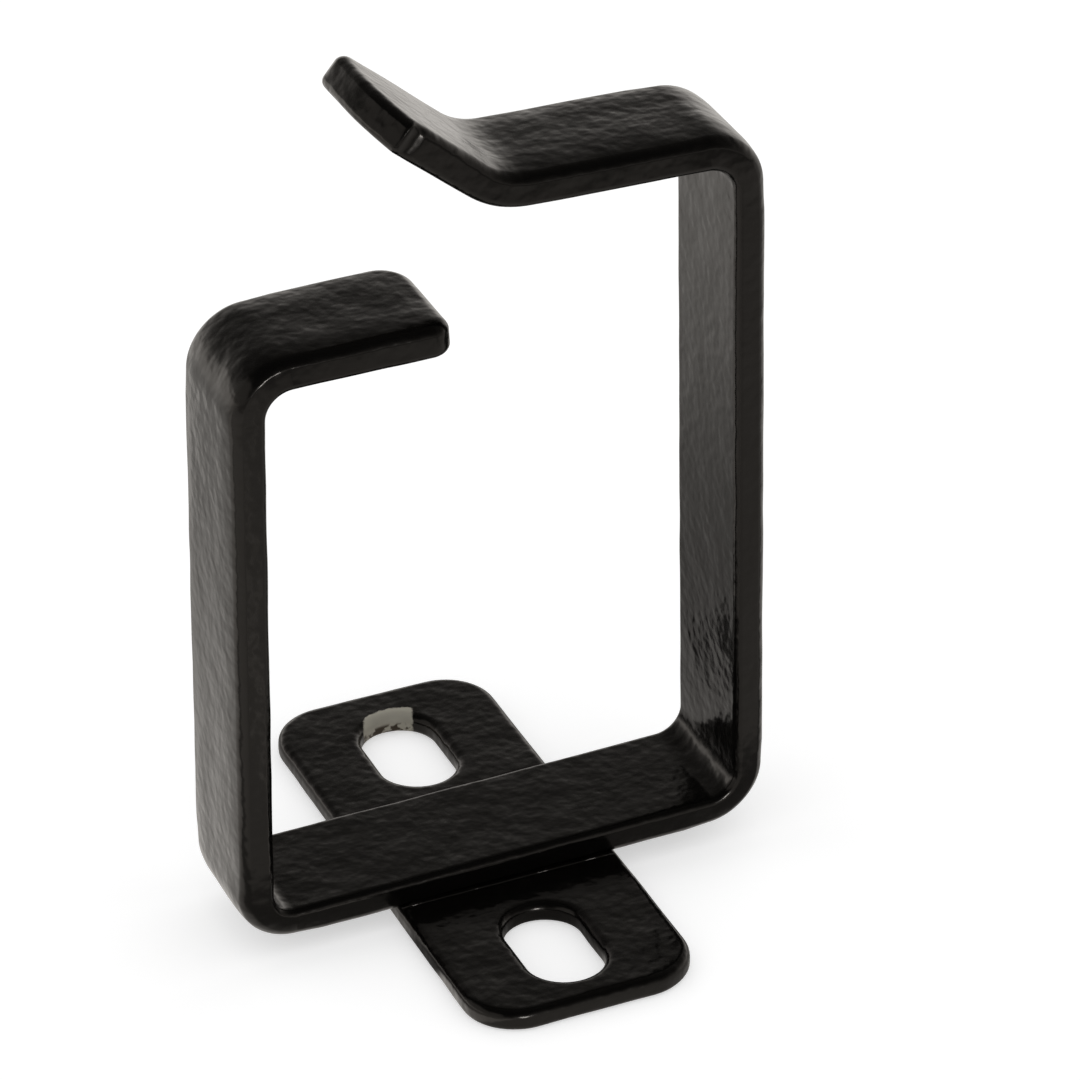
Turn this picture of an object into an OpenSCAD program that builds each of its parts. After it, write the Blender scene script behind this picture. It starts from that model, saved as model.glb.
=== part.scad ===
// Open cable ring for a server rack: a bent flat bar welded across a slotted mounting plate.
// X runs along the ring's width, Y along the plate's length and the bar's width, Z is up.
// The origin is on the underside of the plate, midway between the two slots.

/* [Flat bar] */
// Width of the flat bar
bar_w = 12; // [9:0.5:20]
// Thickness of the flat bar
bar_t = 3; // [2.5:0.1:3.6]
// Radius along all edges of the bar
bar_edge_r = 0.8; // [0.3:0.1:1]

/* [Ring] */
// Outer width of the ring, over both legs
ring_w = 50; // [40:0.5:80]
// Height of the tall leg above the plate, to the top of the upper arm's corner
ring_h = 69; // [56:0.5:120]
// Gap between the top of the short lip and the corner of the upper arm, which lets the cables in
mouth_h = 11.8; // [9:0.1:16]
// Length of the short lip, from the leg's outer face
short_lip_l = 20; // [15:0.5:22]
// Length of the upper arm, from the tall leg's outer face to the corner of the lead-in
arm_l = 24.2; // [18:0.1:32]
// Length of the turned-up lead-in, from its corner to the tip
lead_l = 13.9; // [12.5:0.1:20]
// Angle of the lead-in above the horizontal
lead_angle = 40.5; // [25:0.5:55]
// Angle by which the short leg leans into the ring
leg_lean = 1.5; // [0:0.1:3]
// Angle by which the upper arm rises towards the mouth
arm_rise = 1.5; // [0:0.1:3]

/* [Bends] */
// Inside radius of the bend under the short leg
foot_bend_r = 2; // [1.5:0.1:4]
// Inside radius of the bend under the tall leg
heel_bend_r = 2.5; // [1.5:0.1:4]
// Inside radius of the bend at the top of the short leg
lip_bend_r = 2.5; // [1.5:0.1:4]
// Inside radius of the bend at the top of the tall leg
arm_bend_r = 2.5; // [1.5:0.1:4]
// Inside radius of the bend where the lead-in turns up
lead_bend_r = 6; // [3:0.1:8]

/* [Bar ends] */
// Corner radius of the short lip's end, on the front side
lip_front_r = 2; // [1.5:0.1:4]
// Corner radius of the short lip's end, on the back side
lip_back_r = 3.2; // [1.5:0.1:4]
// Radius of the wide arc that cuts the lead-in's end off on the front side, so that cables slip in
lead_arc_r = 14; // [12:0.5:20]
// How far behind the bar's middle that arc reaches farthest
lead_arc_y = 3.2; // [2.5:0.1:4]
// Corner radius of the lead-in's end on the back side
lead_back_r = 1.5; // [1.2:0.1:2]
// Depth of the small nick that the punch leaves where the wide arc meets the bar's front side
nick_d = 0.35; // [0.1:0.05:0.5]
// Radius of that nick
nick_r = 0.9; // [0.6:0.1:1.2]

/* [Plate] */
// Width of the plate, along the ring
plate_w = 21; // [16:0.5:32]
// Thickness of the plate
plate_t = 2; // [1.5:0.1:3]
// Radius of the plate's corners
plate_corner_r = 5; // [2:0.5:7]
// Radius along the plate's upper and lower rims
plate_edge_r = 0.7; // [0.2:0.1:0.7]
// Strip of plate between the front slot and the plate's front edge
front_land = 2.5; // [2:0.1:8]
// Strip of plate between the rear slot and the plate's rear edge
rear_land = 4.4; // [2:0.1:8]

/* [Slots] */
// Width of each slot, for an M6 screw
slot_w = 7; // [5:0.1:9]
// Distance that a screw can slide along a slot
slot_travel = 5; // [2:0.1:12]
// Gap between the bar and the near end of each slot, for the screw's head
slot_gap = 4.7; // [2:0.1:8]

/* [Hidden] */
$fn = 48;

COAT = [0.09, 0.088, 0.085];
// overshoot of the cutting shapes
over = 1;
// angle by which a bend is turned too far before it is trimmed
overturn = 8;
// least straight stretch left beside a rounded corner of the bar's end
end_flat = 0.2;

// length to a whole micron
function micron(length) = round(1000 * length) / 1000;

// angle nudged by less than a fortieth of a degree, to where its sine and cosine are both whole
// millionths; what is turned by it stays true to size and meets its bend face to face
function nudged(angle) =
    let (
        reach = 400,
        middle = round(1e6 * cos(angle)),
        tries = [for (x = [middle - reach : middle + reach])
            let (y = sqrt(1e12 - x * x)) [abs(y - round(y)), x]],
        least = min([for (try = tries) try[0]]),
        best = [for (try = tries) if (try[0] == least) try[1]][0]
    ) sign(angle) * acos(best / 1e6);

// centre-line set-back of a bend from the corner that it rounds
function setback(angle, inside_r) = (inside_r + bar_t / 2) * tan(abs(angle) / 2);

// bends, counted positive towards the inside of the ring
foot_angle = nudged(90 + leg_lean);
lip_angle = nudged(90 - leg_lean);
heel_angle = 90;
arm_angle = nudged(90 - arm_rise);
lead_bend_angle = -nudged(lead_angle - arm_rise);

foot_back = setback(foot_angle, foot_bend_r);
lip_back = setback(lip_angle, lip_bend_r);
heel_back = setback(heel_angle, heel_bend_r);
arm_back = setback(arm_angle, arm_bend_r);
lead_back = setback(lead_bend_angle, lead_bend_r);

// straight stretches of the bar, between the bends or on to the tips
left_x = micron(-(ring_w - bar_t) / 2 + foot_back);
right_x = micron((ring_w - bar_t) / 2 - heel_back);
short_leg = micron((ring_h - mouth_h - bar_t) / cos(leg_lean) - foot_back - lip_back);
short_lip = micron(short_lip_l - bar_t / 2 - lip_back);
tall_leg = micron(ring_h - bar_t - heel_back - arm_back);
upper_arm = micron(arm_l - bar_t / 2 - arm_back - lead_back);
lead_in = micron(lead_l - lead_back);

// how far the lead-in's square end stays behind the foremost point of its arc
lead_arc_in = 0.1;
// how far the lead-in's arc runs ahead of its centre where it meets the bar's front side
lead_arc_reach = micron(sqrt(pow(lead_arc_r, 2) - pow(bar_w / 2 + lead_arc_y, 2)));

// plate, worked out from the slots on either side of the bar
slot_l = slot_w + slot_travel;
slot_spacing = bar_w + 2 * slot_gap + slot_l;
plate_l = slot_spacing + slot_l + front_land + rear_land;
plate_middle_y = (rear_land - front_land) / 2;

// Half of a flat strip's section, from its middle out to one rounded side; x runs outwards
module half_section(reach, thick, edge_r) {
    difference() {
        translate([0, -thick / 2]) square([reach, thick]);
        for (side = [0, 1]) mirror([0, side]) translate([reach - edge_r, thick / 2 - edge_r])
            difference() {
                square(edge_r + over);
                circle(edge_r);
            }
    }
}

// Whole section, with four rounded edges; x runs along the thickness and y along the width
module bar_section() {
    rotate(90) for (side = [0, 1]) mirror([side, 0]) half_section(bar_w / 2, bar_t, bar_edge_r);
}

// Straight stretch of the bar along +X, with its inner face up
module straight(length) {
    rotate([0, 90, 0]) linear_extrude(length) bar_section();
}

// Moves its children to the far end of a bend, which turns towards +Z, or -Z for a negative angle
module past_turn(angle, inside_r) {
    middle_r = sign(angle) * (inside_r + bar_t / 2);
    translate([0, 0, middle_r]) rotate([0, -angle, 0]) translate([0, 0, -middle_r]) children();
}

// A bend that starts at the origin along +X and turns towards +Z; it is turned too far and then
// trimmed square to the stretch that follows, so that the two meet on one plane
module turn(angle, inside_r) {
    middle_r = inside_r + bar_t / 2;
    difference() {
        translate([0, 0, middle_r]) rotate([90, 90, 0])
            rotate_extrude(angle = angle + overturn) translate([middle_r, 0]) bar_section();
        past_turn(angle, inside_r)
            translate([0, -bar_w, -bar_t]) cube([bar_w, 2 * bar_w, 2 * bar_t]);
    }
}

// Side of a slab along +X with its rim rounded; the rim faces -Y and lies on the X axis
module rim(length, depth, thick, edge_r) {
    translate([0, depth, 0]) rotate([90, 0, 90])
        linear_extrude(length) mirror([1, 0]) half_section(depth, thick, edge_r);
}

// Quarter of a round slab with its rim rounded, filling the corner of +X and +Y
module corner(radius, thick, edge_r) {
    rotate_extrude(angle = 90) half_section(radius, thick, edge_r);
}

// Last stretch of the bar along +X, its two corners rounded in plan and its rims rounded too
module bar_end(length, front_r, back_r) {
    half_w = bar_w / 2;
    e = bar_edge_r;
    back = min(back_r, length - end_flat, half_w - end_flat);
    front = min(front_r, length - end_flat, bar_w - back - end_flat);
    linear_extrude(bar_t, center = true) polygon([
        [0, -half_w + e], [length - front, -half_w + e], [length - front, -half_w + front],
        [length - e, -half_w + front], [length - e, half_w - back],
        [length - back, half_w - back], [length - back, half_w - e], [0, half_w - e]]);
    translate([0, -half_w, 0]) rim(length - front, e, bar_t, e);
    mirror([0, 1, 0]) translate([0, -half_w, 0]) rim(length - back, e, bar_t, e);
    translate([length, -half_w + front, 0]) rotate(90) rim(bar_w - front - back, e, bar_t, e);
    translate([length - front, -half_w + front, 0]) rotate(-90) corner(front, bar_t, e);
    translate([length - back, half_w - back, 0]) corner(back, bar_t, e);
}

// Short leg with its lip, drawn towards +X and put on the left by a mirror
module short_side() {
    turn(foot_angle, foot_bend_r);
    past_turn(foot_angle, foot_bend_r) {
        straight(short_leg);
        translate([short_leg, 0, 0]) {
            turn(lip_angle, lip_bend_r);
            past_turn(lip_angle, lip_bend_r) bar_end(short_lip, lip_front_r, lip_back_r);
        }
    }
}

// Tall leg with the upper arm and its turned-up lead-in, drawn towards +X
module tall_side() {
    turn(heel_angle, heel_bend_r);
    past_turn(heel_angle, heel_bend_r) {
        straight(tall_leg);
        translate([tall_leg, 0, 0]) {
            turn(arm_angle, arm_bend_r);
            past_turn(arm_angle, arm_bend_r) arm_and_lead();
        }
    }
}

// Upper arm and lead-in; the lead-in turns away from the inside of the ring
module arm_and_lead() {
    straight(upper_arm);
    translate([upper_arm, 0, 0]) {
        mirror([0, 0, 1]) turn(-lead_bend_angle, lead_bend_r);
        past_turn(lead_bend_angle, lead_bend_r) difference() {
            intersection() {
                bar_end(lead_in - lead_arc_in, lead_back_r, lead_back_r);
                translate([lead_in - lead_arc_r, lead_arc_y, 0])
                    rotate_extrude() half_section(lead_arc_r, bar_t, bar_edge_r);
            }
            translate([lead_in - lead_arc_r + lead_arc_reach, nick_d - nick_r - bar_w / 2, 0])
                cylinder(r = nick_r, h = bar_t + 2 * over, center = true);
        }
    }
}

// Flat bar bent into an open ring, standing on the plate
module bent_ring() {
    color(COAT) translate([0, 0, plate_t + bar_t / 2]) {
        translate([left_x, 0, 0]) {
            straight(right_x - left_x);
            mirror([1, 0, 0]) short_side();
        }
        translate([right_x, 0, 0]) tall_side();
    }
}

// Round-ended slot through the plate, lengthwise along Y
module slot() {
    depth = plate_t + 2 * over;
    translate([0, 0, -over]) {
        for (end = [-1, 1]) translate([0, end * slot_travel / 2, 0]) cylinder(d = slot_w, h = depth);
        translate([-slot_w / 2, -slot_travel / 2, 0]) cube([slot_w, slot_travel, depth]);
    }
}

// Flat slab with round corners and rounded rims, centred on the origin
module rounded_slab(length, width, thick, corner_r, edge_r) {
    inset_w = width / 2 - edge_r;
    inset_l = length / 2 - edge_r;
    side_w = width / 2 - corner_r;
    side_l = length / 2 - corner_r;
    linear_extrude(thick, center = true) polygon([
        [inset_w, -side_l], [inset_w, side_l], [side_w, side_l], [side_w, inset_l],
        [-side_w, inset_l], [-side_w, side_l], [-inset_w, side_l], [-inset_w, -side_l],
        [-side_w, -side_l], [-side_w, -inset_l], [side_w, -inset_l], [side_w, -side_l]]);
    for (half = [0, 180]) rotate(half) {
        translate([-side_w, -length / 2, 0]) rim(2 * side_w, edge_r, thick, edge_r);
        translate([width / 2, -side_l, 0]) rotate(90) rim(2 * side_l, edge_r, thick, edge_r);
        translate([side_w, side_l, 0]) corner(corner_r, thick, edge_r);
        translate([-side_w, side_l, 0]) rotate(90) corner(corner_r, thick, edge_r);
    }
}

// Mounting plate with one slot in front of the ring and one behind it
module mounting_plate() {
    color(COAT) difference() {
        translate([0, plate_middle_y, plate_t / 2])
            rounded_slab(plate_l, plate_w, plate_t, plate_corner_r, plate_edge_r);
        for (side = [-1, 1]) translate([0, side * slot_spacing / 2, 0]) slot();
    }
}

bent_ring();
mounting_plate();
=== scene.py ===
"""Looks of an open cable ring: a flat bar bent round and welded across a slotted plate.

The ring, the plate and the beads of coat between them are modelled with bmesh around the fixed
frame, dressed in black powder coat and set on a pale floor under soft studio light.
Lengths are in metres, angles in degrees unless a name says otherwise.
"""

import logging
import math
from dataclasses import dataclass, field
from enum import Enum

import bmesh
import bpy
from mathutils import Matrix, Vector, noise


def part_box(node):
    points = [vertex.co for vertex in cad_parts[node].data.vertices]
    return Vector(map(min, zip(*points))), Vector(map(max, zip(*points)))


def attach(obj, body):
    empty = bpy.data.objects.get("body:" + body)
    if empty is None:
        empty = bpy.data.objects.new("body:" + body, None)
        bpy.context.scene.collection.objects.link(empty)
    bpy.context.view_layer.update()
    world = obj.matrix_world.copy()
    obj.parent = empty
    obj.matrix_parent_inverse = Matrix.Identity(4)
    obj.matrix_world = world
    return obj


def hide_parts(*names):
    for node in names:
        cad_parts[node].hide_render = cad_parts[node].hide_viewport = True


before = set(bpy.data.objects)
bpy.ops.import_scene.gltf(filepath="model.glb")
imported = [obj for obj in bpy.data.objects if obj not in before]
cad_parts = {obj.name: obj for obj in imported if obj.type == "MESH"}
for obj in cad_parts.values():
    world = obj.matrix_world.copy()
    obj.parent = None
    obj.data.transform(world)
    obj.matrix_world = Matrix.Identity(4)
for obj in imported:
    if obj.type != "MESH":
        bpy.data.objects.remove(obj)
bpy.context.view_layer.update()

MM = 0.001
BODY = "root"
ROUND = 0.5  # a bevel's profile value for a round edge
KEEP_MATERIAL = -1  # leaves the faces' material alone in a bevel
RIM_STEPS = 8  # steps round a rim
RIM_ANGLE = 60  # an edge between faces that meet more sharply than this is a rim
CORNER_STEP = 0.35 * MM  # length of one step round a corner
LEAST_STEPS = 10  # fewest steps round a corner
SAME_PLACE = 1e-6  # points nearer than this are in one plane
SAME_POINT = 1e-7  # points nearer than this are one point for a cut
SHARP_BEND = 60  # a bend of a larger angle draws the bar narrower
WAVE_DEPTH = 0.05 * MM  # greatest push of the slow waves in the coat
WAVE_PITCH = 3.5 * MM  # distance over which those waves vary
LOG = logging.getLogger("cable_ring")

WHITE = (1, 1, 1, 1)

Colour = tuple[float, float, float, float]
Span = tuple[tuple[float, float], tuple[float, float]]


class Finish(Enum):
    """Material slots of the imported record."""

    POWDER_COAT = "powder_coat"


class Axis(Enum):
    """Directions across which a mesh is cut."""

    X = (1, 0, 0)
    Y = (0, 1, 0)


def piece_from(name: str, mesh: bmesh.types.BMesh) -> bpy.types.Object:
    """Turn a finished bmesh into an object of the scene.

    Args:
        name: Name of the new object and of its mesh.
        mesh: Finished bmesh; it is freed here.

    Returns:
        The new object, at the origin.
    """
    bmesh.ops.recalc_face_normals(mesh, faces=mesh.faces)
    data = bpy.data.meshes.new(name)
    mesh.to_mesh(data)
    mesh.free()
    data.shade_smooth()
    piece = bpy.data.objects.new(name, data)
    bpy.context.scene.collection.objects.link(piece)
    return piece


def bevel(
    mesh: bmesh.types.BMesh, geom: list, radius: float, segments: int, affect: str = "EDGES"
) -> None:
    """Round some edges or corners of a bmesh.

    Args:
        mesh: Mesh to change.
        geom: Edges or vertices to round.
        radius: Radius of the rounding, where the two sides are square to each other.
        segments: Number of steps round each rounding.
        affect: EDGES or VERTICES.
    """
    bmesh.ops.bevel(
        mesh,
        geom=geom,
        offset=radius,
        offset_type="OFFSET",
        segments=segments,
        profile=ROUND,
        affect=affect,
        material=KEEP_MATERIAL,
    )


def cut(mesh: bmesh.types.BMesh, axis: Axis, places: list[float]) -> None:
    """Cut a whole mesh into cells across one axis.

    Args:
        mesh: Mesh to change.
        axis: Direction square to the cuts.
        places: Where the cuts are along that axis.
    """
    for place in places:
        bmesh.ops.bisect_plane(
            mesh,
            geom=mesh.verts[:] + mesh.edges[:] + mesh.faces[:],
            dist=SAME_POINT,
            plane_co=Vector(axis.value) * place,
            plane_no=axis.value,
        )


def steps(start: float, end: float, pitch: float) -> list[float]:
    """List evenly spaced places from start to end, both included, about pitch apart."""
    count = max(1, round((end - start) / pitch))
    return [start + (end - start) * index / count for index in range(count + 1)]


def slab(
    mesh: bmesh.types.BMesh, low: Vector, high: Vector, corners: dict[tuple[int, int], float]
) -> None:
    """Draw a flat outline with round corners at the height of its underside.

    Args:
        mesh: Mesh to draw in.
        low: Lowest corner of the slab.
        high: Highest corner of the slab.
        corners: Radius of each corner, by the signs of its X and Y.
    """
    made = bmesh.ops.create_grid(mesh, x_segments=1, y_segments=1, size=0.5)["verts"]
    size, middle = high - low, (high + low) / 2
    bmesh.ops.scale(mesh, verts=made, vec=(size.x, size.y, 1))
    bmesh.ops.translate(mesh, verts=made, vec=(middle.x, middle.y, low.z))
    for (side_x, side_y), radius in corners.items():
        target = Vector(
            (middle.x + side_x * size.x / 2, middle.y + side_y * size.y / 2, low.z)
        )
        corner = min(mesh.verts, key=lambda vert: (vert.co - target).length)
        count = max(LEAST_STEPS, round(radius / CORNER_STEP))
        bevel(mesh, [corner], radius, count, "VERTICES")


def thicken(
    mesh: bmesh.types.BMesh,
    thickness: float,
    top_r: float,
    under_r: float,
    hole_r: float = 0.0,
    hole_x: float = 0.0,
) -> None:
    """Give a flat outline its thickness, upwards, and round its rims.

    Args:
        mesh: Mesh that holds only the flat outline.
        thickness: Thickness to give.
        top_r: Radius along the upper rims.
        under_r: Radius along the lower rims.
        hole_r: Radius along the upper rims of holes.
        hole_x: Distance from the middle within which a rim belongs to a hole.
    """
    floor_z = mesh.verts[:][0].co.z
    grown = bmesh.ops.extrude_face_region(mesh, geom=mesh.faces[:], use_keep_orig=True)["geom"]
    verts = [item for item in grown if isinstance(item, bmesh.types.BMVert)]
    bmesh.ops.translate(mesh, verts=verts, vec=(0, 0, thickness))
    bmesh.ops.recalc_face_normals(mesh, faces=mesh.faces)
    for height, outer, inner in (
        (floor_z + thickness, top_r, hole_r),
        (floor_z, under_r, under_r),
    ):
        rims = [
            edge
            for edge in mesh.edges
            if all(abs(vert.co.z - height) < SAME_PLACE for vert in edge.verts)
            and abs(edge.calc_face_angle(0.0)) > math.radians(RIM_ANGLE)
        ]
        holes = [edge for edge in rims if all(abs(vert.co.x) < hole_x for vert in edge.verts)]
        around = [edge for edge in rims if edge not in holes]
        if inner and holes and inner != outer:
            bevel(mesh, holes, inner, RIM_STEPS)
            bevel(mesh, around, outer, RIM_STEPS)
        else:
            bevel(mesh, rims, outer, RIM_STEPS)


def ripple(mesh: bmesh.types.BMesh) -> None:
    """Push a mesh's points in and out a little, as thick coat lies.

    Args:
        mesh: Mesh to change.
    """
    mesh.normal_update()
    for vert in mesh.verts:
        vert.co += vert.normal * WAVE_DEPTH * noise.noise(vert.co / WAVE_PITCH)


@dataclass(frozen=True)
class Straight:
    """A straight stretch of bar.

    Attributes:
        length: Length of the stretch.
    """

    length: float


@dataclass(frozen=True)
class Bend:
    """A bend in the bar.

    Attributes:
        angle: Angle of the bend, positive towards the inside of the ring.
        inside_r: Radius on the concave side.
    """

    angle: float
    inside_r: float

    def middle_r(self, thickness: float) -> float:
        """Return the radius halfway through the bar's thickness."""
        return self.inside_r + thickness / 2

    def setback(self, thickness: float) -> float:
        """Return how far the bend starts before the corner of the centre line."""
        return self.middle_r(thickness) * math.tan(math.radians(abs(self.angle)) / 2)


def along(heading: float) -> Vector:
    """Return the direction of a heading, counted from +X towards +Z."""
    return Vector((math.cos(math.radians(heading)), 0, math.sin(math.radians(heading))))


@dataclass
class Press:
    """Bends a flat bar, which lies along X with its outer face up, along a route.

    Attributes:
        route: Stretches and bends, one after the other.
        thickness: Thickness of the bar.
        heading: Direction in which the bar leaves its first end.
        seat: Place of the second bend's centre, by which the bar is put in place.
        places: For each stretch, where it starts on the flat bar, where it starts when bent, and
            the heading there.
    """

    route: list[Straight | Bend]
    thickness: float
    heading: float
    seat: Vector
    places: list[tuple[float, Vector, float]] = field(default_factory=list)

    def __post_init__(self) -> None:
        """Walk along the route and note where every stretch starts."""
        flat, place, heading, centres = 0.0, Vector(), self.heading, []
        for stretch in self.route:
            self.places.append((flat, place, heading))
            if isinstance(stretch, Bend):
                side = math.copysign(self.middle_r(stretch), stretch.angle)
                centre = place + side * along(heading + 90)
                centres.append(centre)
                heading += stretch.angle
                place = centre - side * along(heading + 90)
            else:
                place = place + stretch.length * along(heading)
            flat += self.flat_length(stretch)
        shift = self.seat - centres[1]
        self.places = [(at, where + shift, turn) for at, where, turn in self.places]

    def middle_r(self, bend: Bend) -> float:
        """Return a bend's radius halfway through the bar."""
        return bend.middle_r(self.thickness)

    def flat_length(self, stretch: Straight | Bend) -> float:
        """Find the length that a stretch takes on the flat bar.

        Args:
            stretch: The stretch.

        Returns:
            Its length, halfway through the bar.
        """
        if isinstance(stretch, Bend):
            return math.radians(abs(stretch.angle)) * self.middle_r(stretch)
        return stretch.length

    def length(self) -> float:
        """Return the flat bar's whole length."""
        return sum(self.flat_length(stretch) for stretch in self.route)

    def folds(self, pitch: float, step: float) -> list[float]:
        """List where the flat bar is cut across so that it bends smoothly.

        Args:
            pitch: Distance between cuts in a straight stretch.
            step: Angle between cuts in a bend.

        Returns:
            Places along the flat bar.
        """
        found = []
        for stretch, (flat, _, _) in zip(self.route, self.places):
            reach = self.flat_length(stretch)
            if isinstance(stretch, Bend):
                found += steps(flat, flat + reach, reach * step / abs(stretch.angle))[:-1]
            else:
                found += steps(flat, flat + reach, pitch)[:-1]
        return found[1:]

    def tightness(self, at: float, fade: float) -> float:
        """Return 1 within a sharp bend, falling to 0 beside it.

        Args:
            at: Place along the flat bar.
            fade: Distance over which it falls.

        Returns:
            That share.
        """
        best = 0.0
        for stretch, (flat, _, _) in zip(self.route, self.places):
            if isinstance(stretch, Bend) and abs(stretch.angle) > SHARP_BEND:
                beyond = max(flat - at, at - flat - self.flat_length(stretch), 0.0)
                best = max(best, 1 - beyond / fade)
        return best * best * (3 - 2 * best)

    def bent(self, point: Vector) -> Vector:
        """Return where a point of the flat bar goes.

        Args:
            point: Point of the flat bar; Z is counted from the middle of its thickness.

        Returns:
            The same point on the bent bar.
        """
        index = max(i for i, (flat, _, _) in enumerate(self.places) if i == 0 or flat <= point.x)
        stretch = self.route[index]
        flat, place, heading = self.places[index]
        if isinstance(stretch, Bend):
            turned = stretch.angle * (point.x - flat) / self.flat_length(stretch)
            side = math.copysign(self.middle_r(stretch), stretch.angle)
            centre = place + side * along(heading + 90)
            heading += turned
            middle = centre - side * along(heading + 90)
        else:
            middle = place + (point.x - flat) * along(heading)
        outward = along(heading - 90)
        return middle + outward * point.z + Vector((0, point.y, 0))


class SubAssembly:
    """Part of the object whose pieces ride on its one body."""

    def dress(
        self, piece: bpy.types.Object, coat: bpy.types.Material, *nodes: str
    ) -> bpy.types.Object:
        """Give a piece its finish and tie it to the frame.

        Args:
            piece: The piece.
            coat: Its finish.
            nodes: CAD nodes that it stands for.

        Returns:
            The same piece.
        """
        piece.data.materials.append(coat)
        even = piece.modifiers.new("even_normals", "WEIGHTED_NORMAL")
        even.mode = "FACE_AREA_WITH_ANGLE"
        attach(piece, BODY)
        if nodes:
            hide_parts(*nodes)
        return piece


@dataclass
class BentRing(SubAssembly):
    """The flat bar bent into an open ring, from the short lip's tip to the lead-in's tip.

    Attributes:
        width: Width of the flat bar, along Y, with its coat.
        thickness: Thickness of the flat bar at its middle, with its coat.
        outer_r: Radius along the edges of the bar's outer face.
        inner_r: Radius along the edges of the bar's inner face.
        droop: How far the outer face drops towards its edges, as a sheared bar's does.
        droop_w: Width of the strip in which it drops.
        lean_in: How strongly the narrow faces lean in towards the outer face, per metre.
        draw: Share by which the outer face is drawn narrower in the sharp bends.
        outer_w: Width of the ring over both legs, at their corners.
        outer_h: Height of the tall leg.
        left_x: Place of the short leg's outer face at its foot.
        sunk: How far the ring's underside sinks into the coat, at the plate's middle.
        tilt: Angle by which the bottom of the ring rises from the short leg to the tall one.
        mouth_h: Gap between the short lip's top and the upper arm's corner.
        lip_l: Length of the short lip from its leg's outer face.
        arm_l: Length of the upper arm from the tall leg's outer face to the lead-in's corner.
        lead_l: Length of the lead-in.
        lead_angle: Angle of the lead-in above the horizontal.
        leg_lean: Angle by which the short leg leans into the ring.
        arm_rise: Angle by which the upper arm rises towards the mouth.
        foot_r: Inside radius of the bend under the short leg.
        corner_r: Inside radius of the ring's other three bends.
        lead_r: Inside radius of the bend to the lead-in.
        lip_corners: Corner radii of the short lip's end, front and back.
        lead_arc_r: Radius of the wide arc that cuts off the lead-in's front corner.
        lead_arc_y: Distance of that arc's farthest point behind the bar's middle.
        lead_back_r: Corner radius of the lead-in's end, at the back.
        nick_depth: Depth of the small nick where that arc starts.
        nick_r: Half the length of that nick.
        nick_back: Distance of that nick from the arc's start, towards the bend.
        kink_r: Radius of the corner at the arc's start.
        kink_steps: Number of steps round that corner.
        lean_w: Width of the strip in which the narrow faces lean in.
        draw_fade: Distance beside a sharp bend over which the drawing fades.
        soft_gap: Distance from the lead-in's tip within which lean and droop are least.
        soft_span: Distance over which they grow to their full size from there.
        soft_least: Share of them that is left at the tip.
        fold_pitch: Distance between cross cuts in a straight stretch.
        fold_angle: Angle between cross cuts in a bend.
        nick_pitch: Distance between cross cuts at the nick.
        nick_cuts: Half the length that these cuts take, as a multiple of nick_r.
        droop_part: The outer face's droop acts down to this part of the thickness below the middle.
        end_cuts: Distances of more cross cuts from each end, in millimetres.
        side_cuts: Distances of the lengthwise cuts from each side, in millimetres.
    """

    width: float = 12.45 * MM
    thickness: float = 3.2 * MM
    outer_r: float = 0.8 * MM
    inner_r: float = 0.7 * MM
    droop: float = 0.3 * MM
    droop_w: float = 3.4 * MM
    lean_in: float = 125
    draw: float = 0.05
    outer_w: float = 50.6 * MM
    outer_h: float = 69.6 * MM
    left_x: float = -25.25 * MM
    sunk: float = 0.42 * MM
    tilt: float = 0.45
    mouth_h: float = 11.8 * MM
    lip_l: float = 20.2 * MM
    arm_l: float = 24.4 * MM
    lead_l: float = 13.95 * MM
    lead_angle: float = 40.1
    leg_lean: float = 1.5
    arm_rise: float = 1.5
    foot_r: float = 2 * MM
    corner_r: float = 2.5 * MM
    lead_r: float = 6 * MM
    lip_corners: tuple[float, float] = (2 * MM, 3.2 * MM)
    lead_arc_r: float = 13.5 * MM
    lead_arc_y: float = 1.55 * MM
    lead_back_r: float = 1.5 * MM
    nick_depth: float = 0.35 * MM
    nick_r: float = 0.95 * MM
    nick_back: float = 0.95 * MM
    kink_r: float = 0.34 * MM
    kink_steps: int = 6
    lean_w: float = 3 * MM
    draw_fade: float = 2.5 * MM
    soft_gap: float = 4 * MM
    soft_span: float = 9 * MM
    soft_least: float = 0.25
    fold_pitch: float = 1.2 * MM
    fold_angle: float = 3
    nick_pitch: float = 0.15 * MM
    nick_cuts: float = 1.3
    droop_part: float = 6
    end_cuts: tuple[float, ...] = (1, 1.7, 2.5, 3.3, 4.2, 5.2, 6.2, 7.2, 8.2)
    side_cuts: tuple[float, ...] = (0.8, 1.3, 2.0, 2.8, 3.6, 4.6)

    def route(self) -> list[Straight | Bend]:
        """List the stretches and bends of the bar.

        Returns:
            Stretches and bends, from the short lip to the lead-in.
        """
        half = self.thickness / 2
        lip = Bend(90 - self.leg_lean, self.corner_r)
        foot = Bend(90 + self.leg_lean + self.tilt, self.foot_r)
        heel = Bend(90 - self.tilt, self.corner_r)
        arm = Bend(90 - self.arm_rise, self.corner_r)
        lead = Bend(self.arm_rise - self.lead_angle, self.lead_r)
        lip_back, foot_back, heel_back, arm_back, lead_back = (
            bend.setback(self.thickness) for bend in (lip, foot, heel, arm, lead)
        )
        slant = math.cos(math.radians(self.leg_lean))
        rise = self.outer_w * math.sin(math.radians(self.tilt))
        short_leg = (self.outer_h + rise - self.mouth_h - self.thickness) / slant
        return [
            Straight(self.lip_l - half - lip_back),
            lip,
            Straight(short_leg - lip_back - foot_back),
            foot,
            Straight(self.outer_w - self.thickness - foot_back - heel_back),
            heel,
            Straight(self.outer_h - self.thickness - heel_back - arm_back),
            arm,
            Straight(self.arm_l - half - arm_back - lead_back),
            lead,
            Straight(self.lead_l - lead_back),
        ]

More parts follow.
